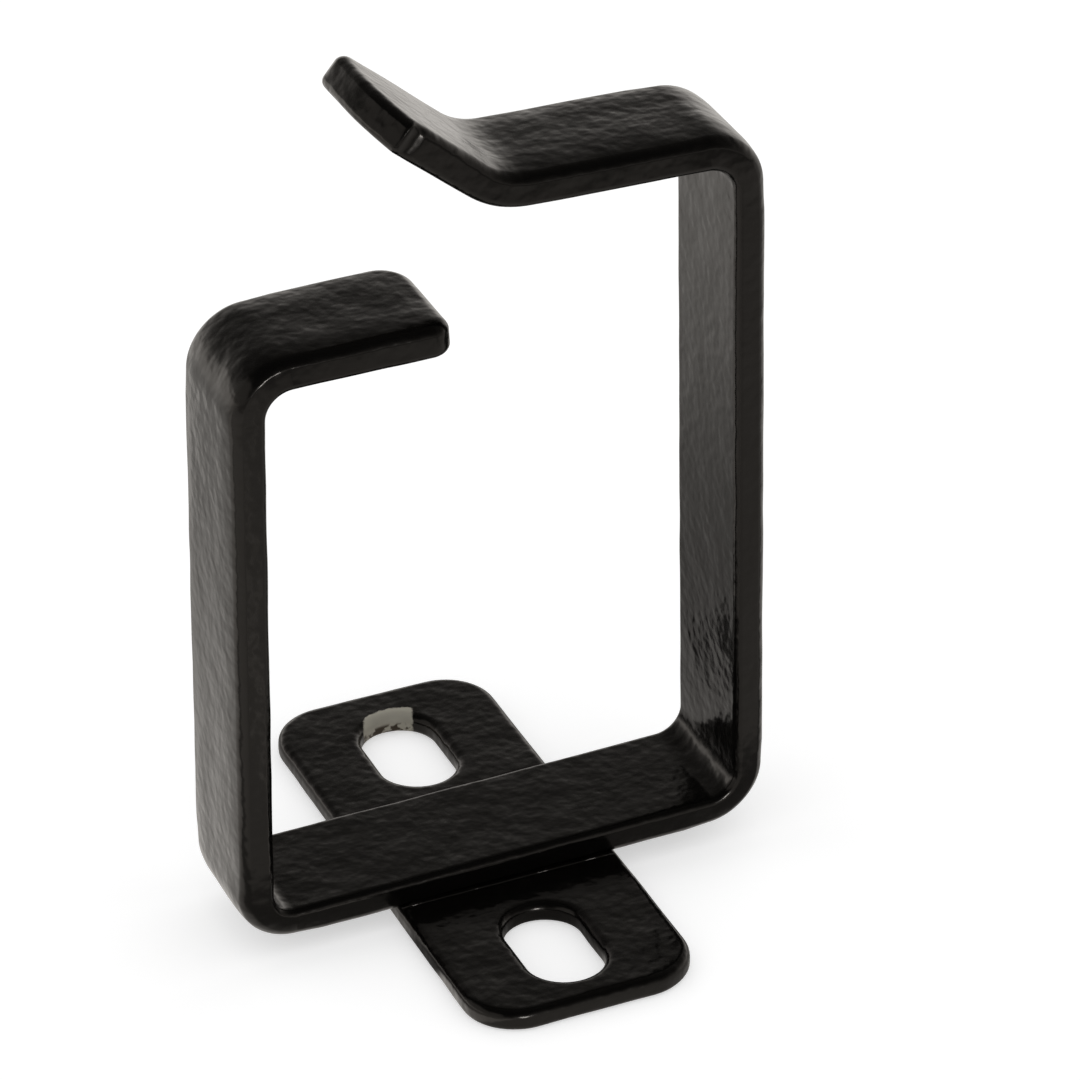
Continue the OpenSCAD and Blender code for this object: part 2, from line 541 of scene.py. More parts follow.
    def press(self) -> Press:
        """Set the press up for this ring.

        Returns:
            The press, in which the ring's bottom stands on the plate.
        """
        route = self.route()
        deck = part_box("mounting_plate")[1].z - self.sunk
        reach = self.thickness / 2 + route[3].setback(self.thickness)
        drop = (self.outer_w / 2 - reach) * math.tan(math.radians(self.tilt))
        seat = Vector((self.left_x + reach, 0, deck - drop + self.thickness + self.foot_r))
        return Press(route, self.thickness, 180.0, seat)

    def rim_gap(self, point: Vector, length: float) -> float:
        """Return how far a point of the flat bar lies from the bar's outline.

        Args:
            point: Point of the flat bar.
            length: Length of the flat bar.

        Returns:
            That distance, measured square to the outline.
        """
        front, back = self.width / 2 + point.y, self.width / 2 - point.y
        end = length - point.x
        gaps = [point.x, end, front, back]
        for gap, edge, radius in (
            (point.x, front, self.lip_corners[0]),
            (point.x, back, self.lip_corners[1]),
            (end, back, self.lead_back_r),
        ):
            if gap < radius and edge < radius:
                gaps.append(radius - math.hypot(radius - gap, radius - edge))
        hub = Vector((length - self.lead_arc_r, self.lead_arc_y, 0))
        if point.x > hub.x and point.y < hub.y:
            gaps.append(self.lead_arc_r - math.hypot(point.x - hub.x, point.y - hub.y))
        return min(gaps)

    def inward(self, point: Vector, length: float) -> Vector:
        """Find in which direction a point of the flat bar gets farther from its outline.

        Args:
            point: Point of the flat bar.
            length: Length of the flat bar.

        Returns:
            That direction, of length 1 or a little less.
        """
        near = 0.02 * MM
        slopes = [
            self.rim_gap(point + step, length) - self.rim_gap(point - step, length)
            for step in (Vector((near, 0, 0)), Vector((0, near, 0)))
        ]
        return Vector((*slopes, 0)) / (2 * near)

    def kink_x(self, length: float) -> float:
        """Return where the lead-in's wide arc leaves the bar's front side."""
        reach = self.width / 2 + self.lead_arc_y
        return length - self.lead_arc_r + math.sqrt(self.lead_arc_r**2 - reach**2)

    def round_off(self, mesh: bmesh.types.BMesh, length: float) -> None:
        """Lay the lead-in's round front corner along its wide arc.

        Args:
            mesh: Mesh that holds only the flat outline.
            length: Length of the flat bar.
        """
        reach = self.width / 2 + self.lead_arc_y
        hub = Vector((length - self.lead_arc_r, self.lead_arc_y, 0))
        start = math.asin(reach / self.lead_arc_r)
        for vert in mesh.verts:
            across = vert.co - Vector((length - reach, self.lead_arc_y, 0))
            if across.x > -SAME_PLACE and across.y < SAME_PLACE:
                share = math.atan2(-across.y, across.x) / (math.pi / 2)
                turn = start * min(share, 1.0)
                vert.co.x = hub.x + self.lead_arc_r * math.cos(turn)
                vert.co.y = hub.y - self.lead_arc_r * math.sin(turn)
        kink = Vector((self.kink_x(length), -self.width / 2))
        corner = min(mesh.verts, key=lambda vert: (vert.co.xy - kink).length)
        bevel(mesh, [corner], self.kink_r, self.kink_steps, "VERTICES")

    def blank(self, press: Press) -> bmesh.types.BMesh:
        """Cut the flat bar that the ring is bent from.

        Args:
            press: The press that will bend it.

        Returns:
            The flat bar along X, outer face up, with Z counted from the middle of its thickness.
        """
        length, half_w, half_t = press.length(), self.width / 2, self.thickness / 2
        mesh = bmesh.new()
        slab(
            mesh,
            Vector((0, -half_w, -half_t)),
            Vector((length, half_w, half_t)),
            {
                (-1, -1): self.lip_corners[0],
                (-1, 1): self.lip_corners[1],
                (1, -1): half_w + self.lead_arc_y,
                (1, 1): self.lead_back_r,
            },
        )
        self.round_off(mesh, length)
        thicken(mesh, self.thickness, self.outer_r, self.inner_r)
        nick_x = self.kink_x(length) - self.nick_back
        reach = self.nick_cuts * self.nick_r
        places = press.folds(self.fold_pitch, self.fold_angle)
        places += [gap * MM for gap in self.end_cuts]
        places += [length - gap * MM for gap in self.end_cuts]
        places += [nick_x + gap for gap in steps(-reach, reach, self.nick_pitch)]
        cut(mesh, Axis.X, places)
        rows = [side * (half_w - gap * MM) for gap in self.side_cuts for side in (-1, 1)]
        cut(mesh, Axis.Y, rows + [0])
        for vert in mesh.verts:
            self.sheer(vert, press)
        return mesh

    def sheer(self, vert: bmesh.types.BMVert, press: Press) -> None:
        """Move one point of the flat bar to where shearing, pressing and coating put it.

        Args:
            vert: Point of the flat bar.
            press: The press that will bend the bar.
        """
        length, half_w, half_t = press.length(), self.width / 2, self.thickness / 2
        gap = self.rim_gap(vert.co, length)
        height = vert.co.z
        grown = (length - vert.co.x - self.soft_gap) / self.soft_span
        softness = min(1.0, max(self.soft_least, grown))
        if height > 0:
            inward = self.inward(vert.co, length)
            lean = softness * self.lean_in * height**2 * max(0.0, 1 - gap / self.lean_w)
            vert.co += inward * lean
            narrow = self.draw * press.tightness(vert.co.x, self.draw_fade)
            vert.co.y *= 1 - narrow * height / half_t
        if height > -self.thickness / self.droop_part:
            vert.co.z -= softness * self.droop * max(0.0, 1 - gap / self.droop_w) ** 2
        reach = abs(vert.co.x - self.kink_x(length) + self.nick_back) / self.nick_r
        if vert.co.y < -half_w + 2 * self.outer_r and reach < 1:
            across = min(1.0, abs(height) / half_t)
            vert.co.y += self.nick_depth * (1 - reach**2) ** 2 * (1 - across**2)

    def build(self, coat: bpy.types.Material) -> bpy.types.Object:
        """Cut the flat bar, bend it and coat it.

        Args:
            coat: Its finish.

        Returns:
            The ring's object.
        """
        press = self.press()
        mesh = self.blank(press)
        for vert in mesh.verts:
            vert.co = press.bent(vert.co)
        bmesh.ops.recalc_face_normals(mesh, faces=mesh.faces)
        ripple(mesh)
        return self.dress(piece_from("cable_ring", mesh), coat, "bent_ring")


@dataclass
class MountingPlate(SubAssembly):
    """The slotted plate under the ring.

    Attributes:
        coat: How far the coat stands out beyond the steel: left, front, right and back.
        corner_r: Radius of its four corners.
        top_r: Radius along its upper rims.
        under_r: Radius along its lower rims.
        slot_r: Radius along the slots' upper rims.
        slot_w: Width of each slot, at its narrowest.
        slot_travel: Straight length of each slot, between its round ends.
        slot_spacing: Distance between the slots' middles.
        slot_shift: Distance of the slots' common middle behind the ring's middle.
        slot_steps: Number of steps round each slot's two ends.
        rim_margin: Distance beyond a slot's side within which its rim lies.
        cell: Size of the cells that the plate is cut into.
    """

    coat: tuple[float, float, float, float] = (-0.08 * MM, -0.12 * MM, 0.27 * MM, 0.42 * MM)
    corner_r: float = 5 * MM
    top_r: float = 0.85 * MM
    under_r: float = 0.6 * MM
    slot_r: float = 0.9 * MM
    slot_w: float = 7 * MM
    slot_travel: float = 4.6 * MM
    slot_spacing: float = 33.4 * MM
    slot_shift: float = 0.45 * MM
    slot_steps: int = 48
    rim_margin: float = 0.1 * MM
    cell: float = 1 * MM

    def build(self, coat: bpy.types.Material) -> bpy.types.Object:
        """Cut the plate out, give it its thickness, round its rims and coat it.

        Args:
            coat: Its finish.

        Returns:
            The plate's object.
        """
        low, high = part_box("mounting_plate")
        low = low - Vector((self.coat[0], self.coat[1], 0))
        high = high + Vector((self.coat[2], self.coat[3], 0))
        mesh = bmesh.new()
        corners = {(x, y): self.corner_r for x in (-1, 1) for y in (-1, 1)}
        slab(mesh, low, high, corners)
        bmesh.ops.delete(mesh, geom=mesh.faces, context="FACES_ONLY")
        for side in (-1, 1):
            self.outline_slot(mesh, self.slot_shift + side * self.slot_spacing / 2, low.z)
        bmesh.ops.triangle_fill(mesh, edges=mesh.edges, use_beauty=True, use_dissolve=False)
        hole_x = self.slot_w / 2 + self.rim_margin
        thicken(mesh, high.z - low.z, self.top_r, self.under_r, self.slot_r, hole_x)
        cut(mesh, Axis.X, steps(low.x, high.x, self.cell)[1:-1])
        cut(mesh, Axis.Y, steps(low.y, high.y, self.cell)[1:-1])
        ripple(mesh)
        return self.dress(piece_from("slotted_plate", mesh), coat, "mounting_plate")

    def outline_slot(self, mesh: bmesh.types.BMesh, middle_y: float, z: float) -> None:
        """Add the outline of one slot.

        Args:
            mesh: Mesh to add to.
            middle_y: Place of the slot's middle.
            z: Height of the outline.
        """
        count, radius = self.slot_steps, self.slot_w / 2
        verts = bmesh.ops.create_circle(mesh, radius=radius, segments=count)["verts"]
        turned = Matrix.Rotation(math.pi / count, 3, "Z")
        bmesh.ops.rotate(mesh, verts=verts, cent=(0, 0, 0), matrix=turned)
        for side in (-1, 1):
            half = [vert for vert in verts if side * vert.co.y > 0]
            bmesh.ops.translate(mesh, verts=half, vec=(0, side * self.slot_travel / 2, 0))
        bmesh.ops.translate(mesh, verts=verts, vec=(0, middle_y, z))


class Side(Enum):
    """Side of the bar that a bead of coat lies on."""

    FRONT = -1
    BACK = 1


@dataclass
class CoatBead(SubAssembly):
    """The bead of coat that fills the corner between the plate and one side of the bar.

    Attributes:
        side: Side of the bar that it lies on.
        radius: Radius of the hollow bead.
        length: Length of the bead along the ring.
        bar_y: Distance of the bar's side from the ring's middle plane.
        sunk: How far the bead reaches into the plate's coat.
        tuck: How far its hidden edge lies under the bar and down in the plate.
        arc_steps: Number of steps round the hollow.
        slices: Number of steps along the bead.
        unevenness: Share by which its size varies.
        pitch: Distance over which it varies.
        even_share: Share of its half length before it thins out towards its end.
        thinning: Share of its size that is lost at its end.
    """

    side: Side
    radius: float = 0.42 * MM
    length: float = 20.4 * MM
    bar_y: float = 6.08 * MM
    sunk: float = 0.05 * MM
    tuck: tuple[float, float] = (0.2 * MM, 0.1 * MM)
    arc_steps: int = 8
    slices: int = 40
    unevenness: float = 0.3
    pitch: float = 1.6 * MM
    even_share: float = 0.9
    thinning: float = 0.6

    def section(self, corner: Vector) -> bmesh.types.BMesh:
        """Draw the bead's section at its left end.

        Args:
            corner: Corner between the bar and the plate there.

        Returns:
            A bmesh that holds the one face of the section.
        """
        mesh = bmesh.new()
        foot = corner + Vector((0, self.side.value * self.radius, 0))
        start = bmesh.ops.create_vert(mesh, co=foot)
        bmesh.ops.spin(
            mesh,
            geom=start["vert"],
            cent=foot + Vector((0, 0, self.radius)),
            axis=(self.side.value, 0, 0),
            angle=-math.pi / 2,
            steps=self.arc_steps,
        )
        under, down = self.tuck
        bmesh.ops.create_vert(mesh, co=corner - Vector((0, self.side.value * under, down)))
        bmesh.ops.contextual_create(mesh, geom=mesh.verts[:])
        return mesh

    def build(self, coat: bpy.types.Material) -> bpy.types.Object:
        """Draw the bead's section out along the corner and coat it.

        Args:
            coat: Its finish.

        Returns:
            The bead's object.
        """
        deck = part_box("mounting_plate")[1].z - self.sunk
        corner = Vector((-self.length / 2, self.side.value * self.bar_y, deck))
        mesh = self.section(corner)
        grown = list(mesh.faces)
        for index in range(self.slices):
            geom = grown + [edge for face in grown for edge in face.edges]
            out = bmesh.ops.extrude_face_region(mesh, geom=geom, use_keep_orig=index == 0)["geom"]
            verts = [item for item in out if isinstance(item, bmesh.types.BMVert)]
            bmesh.ops.translate(mesh, verts=verts, vec=(self.length / self.slices, 0, 0))
            grown = [item for item in out if isinstance(item, bmesh.types.BMFace)]
        for vert in mesh.verts:
            reach = 2 * abs(vert.co.x) / self.length
            place = Vector((vert.co.x / self.pitch, self.side.value, 0))
            uneven = 1 + self.unevenness * noise.noise(place)
            beyond = max(0.0, reach - self.even_share) / (1 - self.even_share)
            scale = uneven * (1 - self.thinning * beyond)
            vert.co.y = corner.y + (vert.co.y - corner.y) * scale
            vert.co.z = corner.z + (vert.co.z - corner.z) * scale
        return self.dress(piece_from(f"coat_bead_{self.side.name.lower()}", mesh), coat)


@dataclass(frozen=True)
class Wiring:
    """Short hand for wiring maths into a node tree.

    Attributes:
        tree: The node tree.
    """

    tree: bpy.types.NodeTree

    def feed(self, socket: bpy.types.NodeSocket, value: bpy.types.NodeSocket | float) -> None:
        """Link a socket to another, or set its value.

        Args:
            socket: Socket to feed.
            value: Socket or number to feed it.
        """
        if isinstance(value, bpy.types.NodeSocket):
            self.tree.links.new(value, socket)
        else:
            socket.default_value = value

    def maths(self, operation: str, *values: bpy.types.NodeSocket | float) -> bpy.types.NodeSocket:
        """Add a Math node.

        Args:
            operation: Name of the operation.
            values: Sockets or numbers to feed it.

        Returns:
            Its output.
        """
        node = self.tree.nodes.new("ShaderNodeMath")
        node.operation = operation
        for socket, value in zip(node.inputs, values):
            self.feed(socket, value)
        return node.outputs[0]

    def times(self, *values: bpy.types.NodeSocket | float) -> bpy.types.NodeSocket:
        """Multiply two or more values, in their order.

        Args:
            values: Sockets or numbers; the first two are not both numbers.

        Returns:
            Their product.
        """
        product = values[0]
        for value in values[1:]:
            product = self.maths("MULTIPLY", product, value)
        return product

    def blend(
        self,
        base: bpy.types.NodeSocket,
        other: bpy.types.NodeSocket | float,
        share: bpy.types.NodeSocket,
    ) -> bpy.types.NodeSocket:
        """Mix two levels by the share of the second one and return the mix."""
        kept = self.times(base, self.maths("SUBTRACT", 1.0, share))
        return self.maths("ADD", kept, self.times(other, share))

    def tint(
        self,
        share: bpy.types.NodeSocket,
        under: bpy.types.NodeSocket | Colour,
        over: bpy.types.NodeSocket | Colour,
    ) -> bpy.types.NodeSocket:
        """Mix two colours.

        Args:
            share: Share of the second colour.
            under: First colour.
            over: Second colour.

        Returns:
            The mixed colour.
        """
        node = self.tree.nodes.new("ShaderNodeMix")
        node.data_type = "RGBA"
        ends = [socket for socket in node.inputs if socket.type == "RGBA"]
        self.feed([socket for socket in node.inputs if socket.name == "Factor"][0], share)
        for socket, value in zip(ends, (under, over)):
            self.feed(socket, value)
        return [socket for socket in node.outputs if socket.type == "RGBA"][0]

    def span(
        self, value: bpy.types.NodeSocket, start: tuple[float, float], end: tuple[float, float]
    ) -> bpy.types.NodeSocket:
        """Add a smooth Map Range node.

        Args:
            value: Value to map.
            start: A value, and what it gives.
            end: Another value, and what it gives.

        Returns:
            Its output.
        """
        node = self.tree.nodes.new("ShaderNodeMapRange")
        node.interpolation_type = "SMOOTHSTEP"
        self.feed(node.inputs["Value"], value)
        for name, (at, given) in (("Min", start), ("Max", end)):
            node.inputs[f"From {name}"].default_value = at
            node.inputs[f"To {name}"].default_value = given
        return node.outputs[0]

    def rise(
        self, value: bpy.types.NodeSocket, places: tuple[float, float]
    ) -> bpy.types.NodeSocket:
        """Return a mask that goes from 0 to 1 between two values."""
        return self.span(value, (places[0], 0), (places[1], 1))

    def fall(
        self, value: bpy.types.NodeSocket, places: tuple[float, float]
    ) -> bpy.types.NodeSocket:
        """Return a mask that goes from 1 to 0 between two values."""
        return self.span(value, (places[0], 1), (places[1], 0))

    def parts(self, vector: bpy.types.NodeSocket) -> tuple[bpy.types.NodeSocket, ...]:
        """Split a vector.

        Args:
            vector: The vector.

        Returns:
            Its X, Y and Z.
        """
        node = self.tree.nodes.new("ShaderNodeSeparateXYZ")
        self.tree.links.new(vector, node.inputs[0])
        return tuple(node.outputs)

    def against(
        self, operation: str, vector: bpy.types.NodeSocket, place: tuple[float, float, float]
    ) -> bpy.types.ShaderNodeVectorMath:
        """Add a Vector Math node that sets a vector against a place.

        Args:
            operation: SUBTRACT or DISTANCE.
            vector: The vector.
            place: The place.

        Returns:
            The node.
        """
        node = self.tree.nodes.new("ShaderNodeVectorMath")
        node.operation = operation
        self.tree.links.new(vector, node.inputs[0])
        node.inputs[1].default_value = place
        return node


@dataclass(frozen=True)
class OrangePeel:
    """Height of the dimples and waves in thick powder coat, as a shader node group.

    Attributes:
        name: Name of the node group.
        scales: Names of its inputs, and how many dimples and waves a metre holds.
        detail: Finer detail in the dimples.
        distortion: Unevenness of the dimples.
        wave_share: Height of the waves as a share of the dimples'.
    """

    name: str = "orange_peel"
    scales: tuple[tuple[str, float], ...] = (
        ("Dimples per Metre", 950.0),
        ("Waves per Metre", 280.0),
    )
    detail: float = 0.7
    distortion: float = 0.1
    wave_share: float = 1.5

    def group(self) -> bpy.types.NodeTree:
        """Build the node group, or return it if it is there already.

        Returns:
            The node group, which puts out a height.
        """
        if self.name in bpy.data.node_groups:
            return bpy.data.node_groups[self.name]
        group = bpy.data.node_groups.new(self.name, "ShaderNodeTree")
        nodes, links = group.nodes, group.links
        given, put_out = nodes.new("NodeGroupInput"), nodes.new("NodeGroupOutput")
        place = nodes.new("ShaderNodeTexCoord").outputs["Object"]
        textures = []
        for name, value in self.scales:
            socket = group.interface.new_socket(
                name, in_out="INPUT", socket_type="NodeSocketFloat"
            )
            socket.default_value = value
            texture = nodes.new("ShaderNodeTexNoise")
            texture.inputs["Detail"].default_value = 0
            links.new(place, texture.inputs["Vector"])
            links.new(given.outputs[name], texture.inputs["Scale"])
            textures.append(texture)
        group.interface.new_socket("Height", in_out="OUTPUT", socket_type="NodeSocketFloat")
        dimples, waves = textures
        dimples.inputs["Detail"].default_value = self.detail
        dimples.inputs["Distortion"].default_value = self.distortion
        height = Wiring(group).maths(
            "MULTIPLY_ADD", waves.outputs["Fac"], self.wave_share, dimples.outputs["Fac"]
        )
        links.new(height, put_out.inputs["Height"])
        return group


@dataclass(frozen=True)
class PowderCoat:
    """Glossy black powder coat with orange peel.

    Attributes:
        colour: Base colour of the coat.
        glint: Tint of its gloss.
        roughness: Roughness of the gloss.
        ior: Index of refraction of the coat.
        peel_depth: Depth of the orange peel.
    """

    colour: Colour = (0.0015, 0.0014, 0.0013, 1)
    glint: Colour = (1, 0.94, 0.88, 1)
    roughness: float = 0.19
    ior: float = 1.5
    peel_depth: float = 0.085 * MM

    def material(self) -> bpy.types.Material:
        """Build the material.

        Returns:
            The finished material.
        """
        material = bpy.data.materials.new("powder_coat")
        material.use_nodes = True
        nodes, links = material.node_tree.nodes, material.node_tree.links
        shader = nodes["Principled BSDF"]
        shader.inputs["Base Color"].default_value = self.colour
        shader.inputs["Roughness"].default_value = self.roughness
        shader.inputs["IOR"].default_value = self.ior
        shader.inputs["Specular Tint"].default_value = self.glint
        peel = nodes.new("ShaderNodeGroup")
        peel.node_tree = OrangePeel().group()
        bump = nodes.new("ShaderNodeBump")
        bump.inputs["Strength"].default_value = 1
        bump.inputs["Distance"].default_value = self.peel_depth
        links.new(peel.outputs["Height"], bump.inputs["Height"])
        links.new(bump.outputs["Normal"], shader.inputs["Normal"])
        return material


@dataclass(frozen=True)
class BarePatch:
    """Mask of the spot in the rear slot that the coat never reached, as a shader node group.

    Attributes:
        name: Name of the node group.
        hub: Centre of the slot's round rear end.
        reach: Distance from the hub to the patch's far edge.
        skew: How far the patch's sides lean to the right per distance backwards.
        sides: Where those sides cross the hub's depth, left and right.
        front: Distances behind the hub between which its front edge fades in.
        edge: Half the width over which its other edges fade.
        jag: How far those edges wander.
        grains: Grains of rust and jags per metre.
        detail: Finer detail in the grains.
        rust_top: Heights between which the rust fades out upwards.
        rust_grain: Levels of the grain between which rust shows.
    """

    name: str = "bare_patch"
    hub: tuple[float, float, float] = (0.5 * MM, 19.4 * MM, 0)
    reach: float = 4.7 * MM
    skew: float = 0.405
    sides: tuple[float, float] = (-4.0 * MM, 0.8 * MM)
    front: tuple[float, float] = (0.3 * MM, 0.6 * MM)
    edge: float = 0.12 * MM
    jag: float = 0.25 * MM
    grains: float = 1500
    detail: float = 2
    rust_top: tuple[float, float] = (0.9 * MM, 1.3 * MM)
    rust_grain: tuple[float, float] = (0.42, 0.56)

    def group(self) -> bpy.types.NodeTree:
        """Build the node group.

        Returns:
            The node group, which puts out the patch's mask and a mask of the rust in it.
        """
        group = bpy.data.node_groups.new(self.name, "ShaderNodeTree")
        for name in ("Bare", "Rust"):
            group.interface.new_socket(name, in_out="OUTPUT", socket_type="NodeSocketFloat")
        wire = Wiring(group)
        put_out = group.nodes.new("NodeGroupOutput")
        place = group.nodes.new("ShaderNodeTexCoord").outputs["Object"]
        grain = group.nodes.new("ShaderNodeTexNoise")
        grain.inputs["Scale"].default_value = self.grains
        grain.inputs["Detail"].default_value = self.detail
        group.links.new(place, grain.inputs["Vector"])
        uneven = wire.maths("MULTIPLY_ADD", grain.outputs["Fac"], 2 * self.jag, -self.jag)
        from_hub = wire.against("SUBTRACT", place, self.hub).outputs["Vector"]
        across, deep, high = wire.parts(from_hub)
        side = wire.maths("ADD", wire.maths("MULTIPLY_ADD", deep, -self.skew, across), uneven)
        squares = (wire.maths("POWER", value, 2.0) for value in (across, deep))
        away = wire.maths("ADD", wire.maths("SQRT", wire.maths("ADD", *squares)), uneven)
        left, right, far = (
            (middle - self.edge, middle + self.edge) for middle in (*self.sides, self.reach)
        )
        bare = wire.times(
            wire.rise(side, left),
            wire.fall(side, right),
            wire.fall(away, far),
            wire.rise(deep, self.front),
        )
        low = wire.fall(high, self.rust_top)
        rust = wire.times(low, wire.rise(grain.outputs["Fac"], self.rust_grain))
        group.links.new(bare, put_out.inputs["Bare"])
        group.links.new(rust, put_out.inputs["Rust"])
        return group


@dataclass(frozen=True)
class ChippedCoat(PowderCoat):
    """Powder coat that leaves the bare patch in the rear slot uncovered.

    Attributes:
        steel: Colour of the bare steel.
        rust: Colour of the rust spots on it.
        metal: How much of the bare steel's shine is a metal's.
        dullness: Roughness that the steel has beyond the coat's.
    """

    steel: Colour = (0.5, 0.475, 0.4, 1)
    rust: Colour = (0.06, 0.045, 0.03, 1)
    metal: float = 0.4
    dullness: float = 0.25

    def material(self) -> bpy.types.Material:
        """Build the material.

        Returns:
            The finished material.
        """
        material = super().material()
        material.name = "chipped_powder_coat"
        nodes, links = material.node_tree.nodes, material.node_tree.links
        shader = nodes["Principled BSDF"]
        patch = nodes.new("ShaderNodeGroup")
        patch.node_tree = BarePatch().group()
        wire = Wiring(material.node_tree)
        worn = wire.tint(patch.outputs["Rust"], self.steel, self.rust)
        colour = wire.tint(patch.outputs["Bare"], self.colour, worn)
        links.new(colour, shader.inputs["Base Color"])
        links.new(wire.times(patch.outputs["Bare"], self.metal), shader.inputs["Metallic"])
        rough = wire.maths("MULTIPLY_ADD", patch.outputs["Bare"], self.dullness, self.roughness)
        links.new(rough, shader.inputs["Roughness"])
        return material


@dataclass(frozen=True)
class Viewpoint:
    """Camera that looks at the ring from its front left, from above.

    Attributes:
        azimuth: Turn of the camera about Z; 0 looks along +Y.
        elevation: Angle of the camera above the horizontal.
        roll: Tilt of the camera about its own axis.
        distance: Distance from the camera to the point it aims at.
        aim: Point that the camera aims at.
        lens: Focal length of the camera in millimetres.
        sensor: Width of its sensor in millimetres.
        clip: Nearest and farthest distance that it sees.
    """

    azimuth: float = -22.9202
    elevation: float = 31.4494
    roll: float = -1.0619
    distance: float = 504.6 * MM
    aim: tuple[float, float, float] = (5.318 * MM, -2.157 * MM, 33.783 * MM)
    lens: float = 194.27
    sensor: float = 36
    clip: tuple[float, float] = (0.01, 100)

    def build(self) -> None:
        """Place the camera."""
        data = bpy.data.cameras.new("view")
        data.sensor_width = self.sensor
        data.lens = self.lens
        data.clip_start, data.clip_end = self.clip
        camera = bpy.data.objects.new("view", data)
        turn, lift = math.radians(self.azimuth), math.radians(self.elevation)
        back = Vector(
            (math.sin(turn) * math.cos(lift), -math.cos(turn) * math.cos(lift), math.sin(lift))
        )
        right = Vector((math.cos(turn), math.sin(turn), 0))
        axes = Matrix((right, back.cross(right), back)).transposed()
        axes = axes @ Matrix.Rotation(math.radians(self.roll), 3, "Z")
        place = Vector(self.aim) + back * self.distance
        camera.matrix_world = Matrix.Translation(place) @ axes.to_4x4()
        bpy.context.scene.collection.objects.link(camera)
        bpy.context.scene.camera = camera


@dataclass(frozen=True)
class PaintedFloorSheen:
    """How bright gloss sees each place on the floor: painted light and shade, with a painted soft
    shadow of the ring.

    A span holds two places and the level at each of them. A rise or fall holds two places
    between which a mask goes up to 1 or down to 0.

    Attributes:
        leftward: Level across the floor, from its left to under the ring.
        backward: Level along the floor, from before the ring to under it.
        hub: Middle of the ring's painted soft shadow.
        shade: Level of that painted shadow by distance from there.
        contact_rise: Front edge of the painted contact shadow, a dark strip before the bar.
        contact_fall: Back edge of that painted shadow.
        contact: Share of the level that this painted shadow takes away.
        front: Level towards the front of the floor.
        far: Level towards its back.
        lean: How far the left part's border leans to the left per distance backwards.
        left_fall: Right border of the left part.
        left_rise: Front border of the left part.
        left_near: Level of the painted brighter left part, by depth.
        left_far: More of its level, farther back.
        strip_rise: Left border of the painted bright strip beside the plate.
        strip_fall: Right border of that strip.
        strip_end: Back border of that strip.
        strip: Level of that painted bright strip.
    """

    leftward: Span = ((-0.06, 0.92), (-0.015, 0.66))
    backward: Span = ((-0.03, 0.62), (0.01, 1.0))
    hub: tuple[float, float, float] = (0.006, 0.04, 0)
    shade: Span = ((0.0, 0.42), (0.075, 1.0))
    contact_rise: tuple[float, float] = (-0.02, -0.014)
    contact_fall: tuple[float, float] = (-0.009, -0.006)
    contact: float = 0.68
    front: Span = ((-0.33, 0.3), (-0.07, 1.0))
    far: Span = ((0.11, 1.0), (0.24, 1.6))
    lean: float = 0.4
    left_fall: tuple[float, float] = (-0.02, -0.006)
    left_rise: tuple[float, float] = (-0.004, 0.005)
    left_near: Span = ((0.0, 0.95), (0.09, 0.58))
    left_far: Span = ((0.1, 1.0), (0.3, 1.9))
    strip_rise: tuple[float, float] = (-0.0135, -0.012)
    strip_fall: tuple[float, float] = (-0.0105, -0.01)
    strip_end: tuple[float, float] = (-0.015, -0.013)
    strip: float = 0.95

    def level(self, wire: Wiring) -> bpy.types.NodeSocket:
        """Wire the painted light and shade into the floor's material.

        Args:
            wire: Wiring of that material.

        Returns:
            The level's socket.
        """
        place = wire.tree.nodes.new("ShaderNodeTexCoord").outputs["Object"]
        across, deep, _ = wire.parts(place)
        # painted soft shadow of the ring, darkest near the hub, seen only in gloss
        away = wire.against("DISTANCE", place, self.hub).outputs["Value"]
        # painted contact shadow: a dark strip on the floor just before the bar, seen only in gloss
        contact = wire.times(
            wire.rise(deep, self.contact_rise), wire.fall(deep, self.contact_fall)
        )
        # painted light and shade across the floor: brighter to the left and far back, darker to the
        # front and near the ring
        level = wire.times(
            wire.span(across, *self.leftward),
            wire.span(deep, *self.backward),
            wire.span(away, *self.shade),
            wire.maths("MULTIPLY_ADD", contact, -self.contact, 1.0),
            wire.span(deep, *self.front),
            wire.span(deep, *self.far),
        )
        # painted light: a brighter part of the floor to the left, seen only in gloss
        aside = wire.maths("MULTIPLY_ADD", deep, self.lean, across)
        aside = wire.times(wire.fall(aside, self.left_fall), wire.rise(deep, self.left_rise))
        left = wire.times(wire.span(deep, *self.left_near), wire.span(deep, *self.left_far))
        # painted light: a bright strip beside the plate's left side, which that side shows as its
        # reflection
        strip = wire.times(
            wire.rise(across, self.strip_rise),
            wire.fall(across, self.strip_fall),
            wire.fall(deep, self.strip_end),
        )
        return wire.blend(wire.blend(level, left, aside), self.strip, strip)


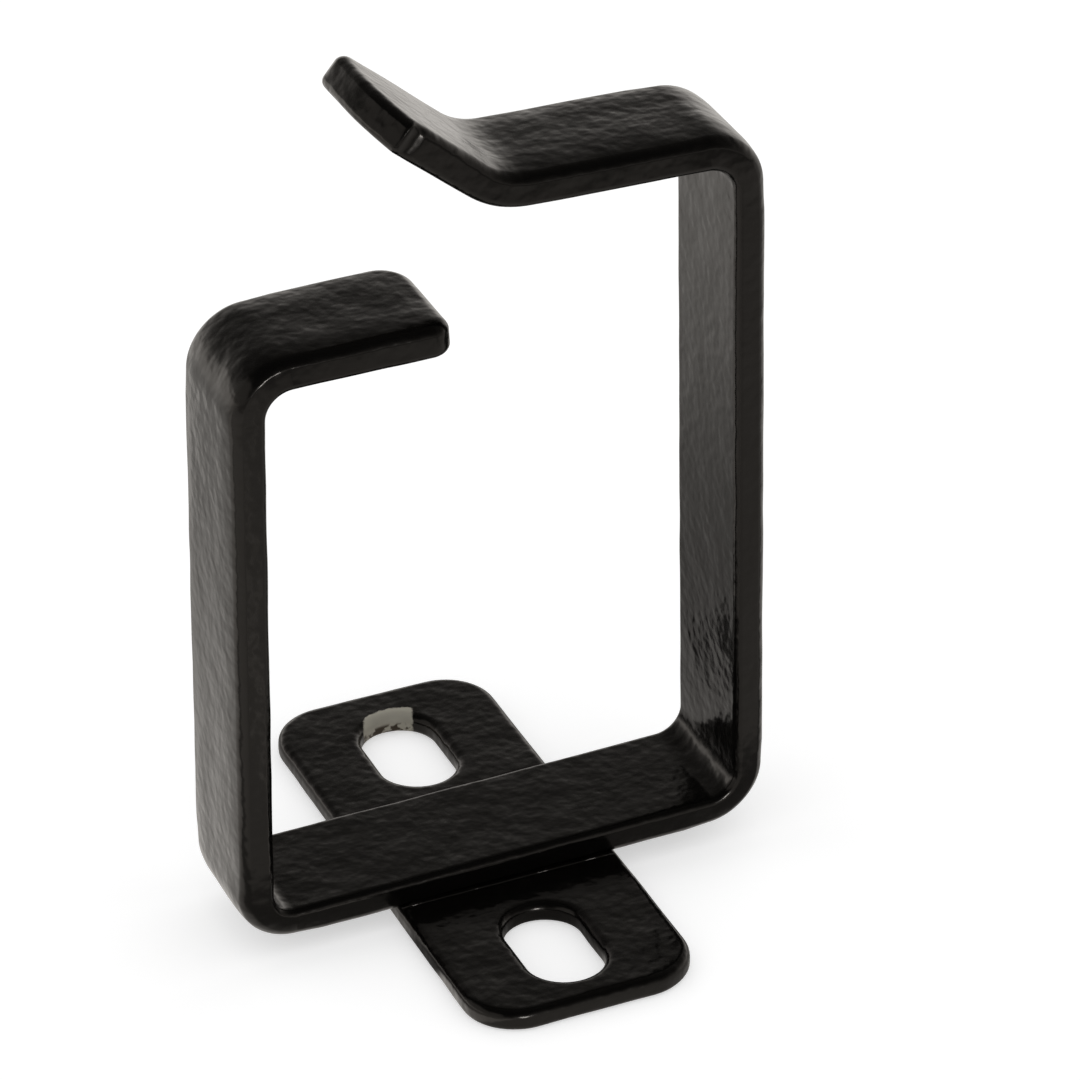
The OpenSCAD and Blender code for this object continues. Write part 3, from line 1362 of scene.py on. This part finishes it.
@dataclass(frozen=True)
class Surroundings:
    """Light from all round: even for matt surfaces, graded for gloss, white for the camera.

    A span holds two values of one part of the direction and the level at each of them.

    Attributes:
        plain: Light that falls evenly from all round.
        sky: Brightness seen in gloss, by elevation, from below the horizon up.
        backward: Share of it from the front to the back.
        rightward: Share of it from the left to the right.
        low: Least such share, from the horizon up.
        card_side: Brightness of the card on the left, towards the middle.
        card_top: Share of the card's brightness, upwards.
    """

    plain: float = 0.7
    sky: tuple[tuple[float, float], ...] = (
        (-90, 1.1),
        (-6, 1.1),
        (6, 1.0),
        (13, 0.72),
        (20, 0.42),
        (26, 0.26),
        (31, 0.19),
        (38, 0.13),
        (50, 0.08),
        (90, 0.05),
    )
    backward: Span = ((-0.6, 0.3), (0.4, 1.0))
    rightward: Span = ((-0.8, 0.4), (0.2, 1.0))
    low: Span = ((0.04, 1.15), (0.22, 0.3))
    card_side: Span = ((-0.74, 0.35), (-0.62, 0.0))
    card_top: Span = ((0.55, 1.0), (0.75, 0.0))

    def gradient(self, wire: Wiring, upward: bpy.types.NodeSocket) -> bpy.types.NodeSocket:
        """Wire the sky's brightness by elevation.

        Args:
            wire: Wiring of the world.
            upward: The direction's upward part.

        Returns:
            The brightness as a grey.
        """
        fade = wire.tree.nodes.new("ShaderNodeValToRGB")
        stops = fade.color_ramp.elements
        while len(stops) > 1:
            stops.remove(stops[-1])
        for index, (elevation, level) in enumerate(self.sky):
            at = 0.5 + math.sin(math.radians(elevation)) / 2
            stop = stops[0] if index == 0 else stops.new(at)
            stop.position = at
            stop.color = (level, level, level, 1)
        wire.tree.links.new(wire.maths("MULTIPLY_ADD", upward, 0.5, 0.5), fade.inputs["Fac"])
        return fade.outputs["Color"]

    def build(self, gloss_tint: Colour) -> None:
        """Set the world up.

        Args:
            gloss_tint: Colour of the light that gloss sees.
        """
        world = bpy.data.worlds.new("studio")
        world.use_nodes = True
        tree = world.node_tree
        wire = Wiring(tree)
        direction = tree.nodes.new("ShaderNodeTexCoord")
        across, deep, upward = wire.parts(direction.outputs["Generated"])
        share = wire.maths(
            "MAXIMUM", wire.span(across, *self.rightward), wire.span(upward, *self.low)
        )
        level = wire.times(self.gradient(wire, upward), wire.span(deep, *self.backward), share)
        card = wire.times(wire.span(across, *self.card_side), wire.span(upward, *self.card_top))
        light = tree.nodes.new("ShaderNodeLightPath")
        glossy = light.outputs["Is Glossy Ray"]
        level = wire.times(wire.maths("MAXIMUM", level, card), glossy)
        plain = wire.maths(
            "MULTIPLY_ADD", light.outputs["Is Diffuse Ray"], self.plain, seen_plainly(wire, light)
        )
        background = tree.nodes["Background"]
        tree.links.new(wire.tint(glossy, WHITE, gloss_tint), background.inputs["Color"])
        tree.links.new(wire.maths("ADD", plain, level), background.inputs["Strength"])
        bpy.context.scene.world = world


def seen_plainly(wire: Wiring, light: bpy.types.ShaderNodeLightPath) -> bpy.types.NodeSocket:
    """Return a mask that is 1 for what the camera sees, straight on or through glass."""
    return wire.maths(
        "MAXIMUM", light.outputs["Is Camera Ray"], light.outputs["Is Transmission Ray"]
    )


@dataclass(frozen=True)
class Studio:
    """Pale floor, soft surroundings and one low lamp.

    Attributes:
        gloss_tint: Colour of the light that gloss sees.
        floor_size: Half the width of the floor.
        floor_colour: Colour of the floor.
        floor_glow: Brightness that the camera sees the floor add to its own shading.
        lamp_place: Where the lamp hangs.
        lamp_aim: Point that it faces.
        lamp_size: Its width and height.
        lamp_power: Its power in watts.
    """

    gloss_tint: Colour = (1, 0.96, 0.91, 1)
    floor_size: float = 3
    floor_colour: Colour = (0.8, 0.8, 0.8, 1)
    floor_glow: float = 0.5
    lamp_place: tuple[float, float, float] = (-0.1, -1.5, 0.24)
    lamp_aim: tuple[float, float, float] = (0, 0, 0.05)
    lamp_size: tuple[float, float] = (0.4, 0.16)
    lamp_power: float = 4

    def floor(self) -> None:
        """Lay the pale floor."""
        mesh = bmesh.new()
        bmesh.ops.create_grid(mesh, x_segments=1, y_segments=1, size=self.floor_size)
        floor = piece_from("floor", mesh)
        material = bpy.data.materials.new("pale_floor")
        material.use_nodes = True
        tree = material.node_tree
        wire = Wiring(tree)
        shader = tree.nodes["Principled BSDF"]
        shader.inputs["Base Color"].default_value = self.floor_colour
        shader.inputs["Roughness"].default_value = 1
        shader.inputs["Specular IOR Level"].default_value = 0
        shader.inputs["Emission Color"].default_value = WHITE
        light = tree.nodes.new("ShaderNodeLightPath")
        glow = wire.times(seen_plainly(wire, light), self.floor_glow)
        tree.links.new(glow, shader.inputs["Emission Strength"])
        # glossy rays see the floor as an emitter that carries painted light and shade, not its own
        # shading
        painted_gloss_glow = tree.nodes.new("ShaderNodeEmission")
        painted_gloss_glow.inputs["Color"].default_value = self.gloss_tint
        tree.links.new(PaintedFloorSheen().level(wire), painted_gloss_glow.inputs["Strength"])
        mix = tree.nodes.new("ShaderNodeMixShader")
        tree.links.new(light.outputs["Is Glossy Ray"], mix.inputs["Fac"])
        tree.links.new(shader.outputs[0], mix.inputs[1])
        tree.links.new(painted_gloss_glow.outputs[0], mix.inputs[2])
        tree.links.new(mix.outputs[0], tree.nodes["Material Output"].inputs["Surface"])
        floor.data.materials.append(material)

    def lamp(self) -> None:
        """Hang the lamp."""
        data = bpy.data.lights.new("front", "AREA")
        data.shape = "RECTANGLE"
        data.size, data.size_y = self.lamp_size
        data.energy = self.lamp_power
        lamp = bpy.data.objects.new("front", data)
        place = Vector(self.lamp_place)
        facing = (Vector(self.lamp_aim) - place).to_track_quat("-Z", "Y").to_matrix()
        lamp.matrix_world = Matrix.Translation(place) @ facing.to_4x4()
        lamp.visible_camera = False
        bpy.context.scene.collection.objects.link(lamp)

    def build(self) -> None:
        """Set the whole studio up."""
        self.floor()
        Surroundings().build(self.gloss_tint)
        self.lamp()
        bpy.context.scene.view_settings.view_transform = "Standard"


def main() -> None:
    """Build the ring, the plate, the beads, the camera and the studio."""
    logging.basicConfig(level=logging.INFO)
    coat = PowderCoat().material()
    pieces = [
        BentRing().build(coat),
        MountingPlate().build(ChippedCoat().material()),
        *(CoatBead(side).build(coat) for side in Side),
    ]
    for piece in pieces:
        LOG.info("%s: %d faces", piece.name, len(piece.data.polygons))
    Viewpoint().build()
    Studio().build()


if __name__ == "__main__":
    main()
